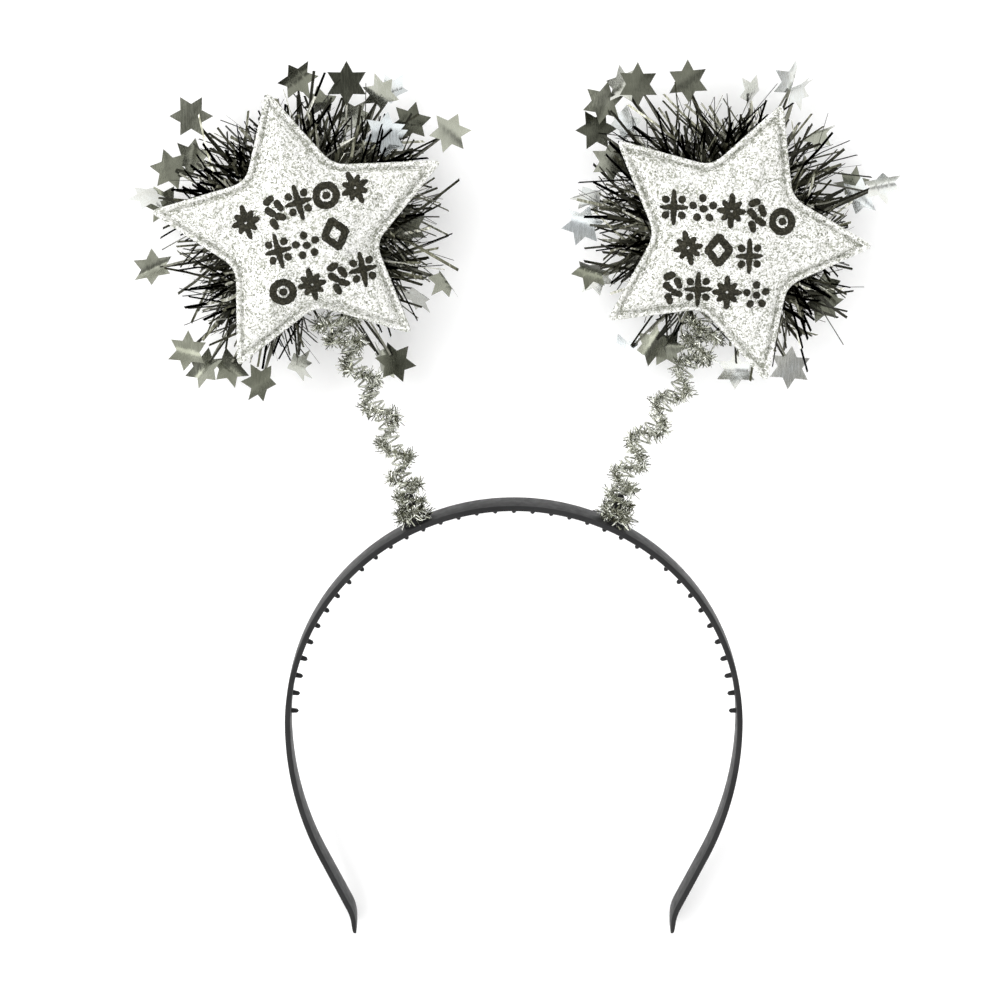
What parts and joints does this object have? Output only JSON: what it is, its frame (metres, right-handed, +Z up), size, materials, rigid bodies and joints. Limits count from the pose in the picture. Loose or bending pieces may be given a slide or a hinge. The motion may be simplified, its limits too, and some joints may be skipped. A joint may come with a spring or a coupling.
{
  "type": "new year headband",
  "caption": "Comb-tooth plastic headband whose springs, wound with silver tinsel, carry padded glitter stars with black tinsel and foil stars behind them.",
  "frame": {"origin": "on the surface that the part lies on, under the middle of its box", "axes": "+Z up, the way the fronts of the stars face; +Y from the ends of the band to the stars; +X to the right seen from above"},
  "size_m": [0.2324, 0.271, 0.0368],
  "materials": {
    "band_plastic": "satin moulded plastic, dark grey",
    "socket_plastic": "plain moulded plastic, black",
    "spring_wire": "thin bright wire",
    "silver_tinsel": "cut metallised film",
    "star_glitter": "silver-white glitter on padded cloth",
    "black_tinsel": "cut black metallised film",
    "foil": "stamped metallised film, silver with an olive cast"
  },
  "bodies": {
    "root": {"headband": "band_plastic", "spring_left": "spring_wire", "silver_tinsel_left": "silver_tinsel", "puffed_star_left": "star_glitter", "tinsel_wreath_left": "black_tinsel", "spring_socket_left": "socket_plastic", "foil_star_left_01": "foil", "foil_star_left_02": "foil", "foil_star_left_03": "foil", "foil_star_left_04": "foil", "foil_star_left_05": "foil", "foil_star_left_06": "foil", "foil_star_left_07": "foil", "foil_star_left_08": "foil", "foil_star_left_09": "foil", "foil_star_left_10": "foil", "foil_star_left_11": "foil", "foil_star_left_12": "foil", "foil_star_left_13": "foil", "foil_star_left_14": "foil", "foil_star_left_15": "foil", "foil_star_left_16": "foil", "spring_right": "spring_wire", "silver_tinsel_right": "silver_tinsel", "puffed_star_right": "star_glitter", "tinsel_wreath_right": "black_tinsel", "spring_socket_right": "socket_plastic", "foil_star_right_01": "foil", "foil_star_right_02": "foil", "foil_star_right_03": "foil", "foil_star_right_04": "foil", "foil_star_right_05": "foil", "foil_star_right_06": "foil", "foil_star_right_07": "foil", "foil_star_right_08": "foil", "foil_star_right_09": "foil", "foil_star_right_10": "foil", "foil_star_right_11": "foil", "foil_star_right_12": "foil", "foil_star_right_13": "foil", "foil_star_right_14": "foil", "foil_star_right_15": "foil", "foil_star_right_16": "foil"}
  },
  "joints": []
}
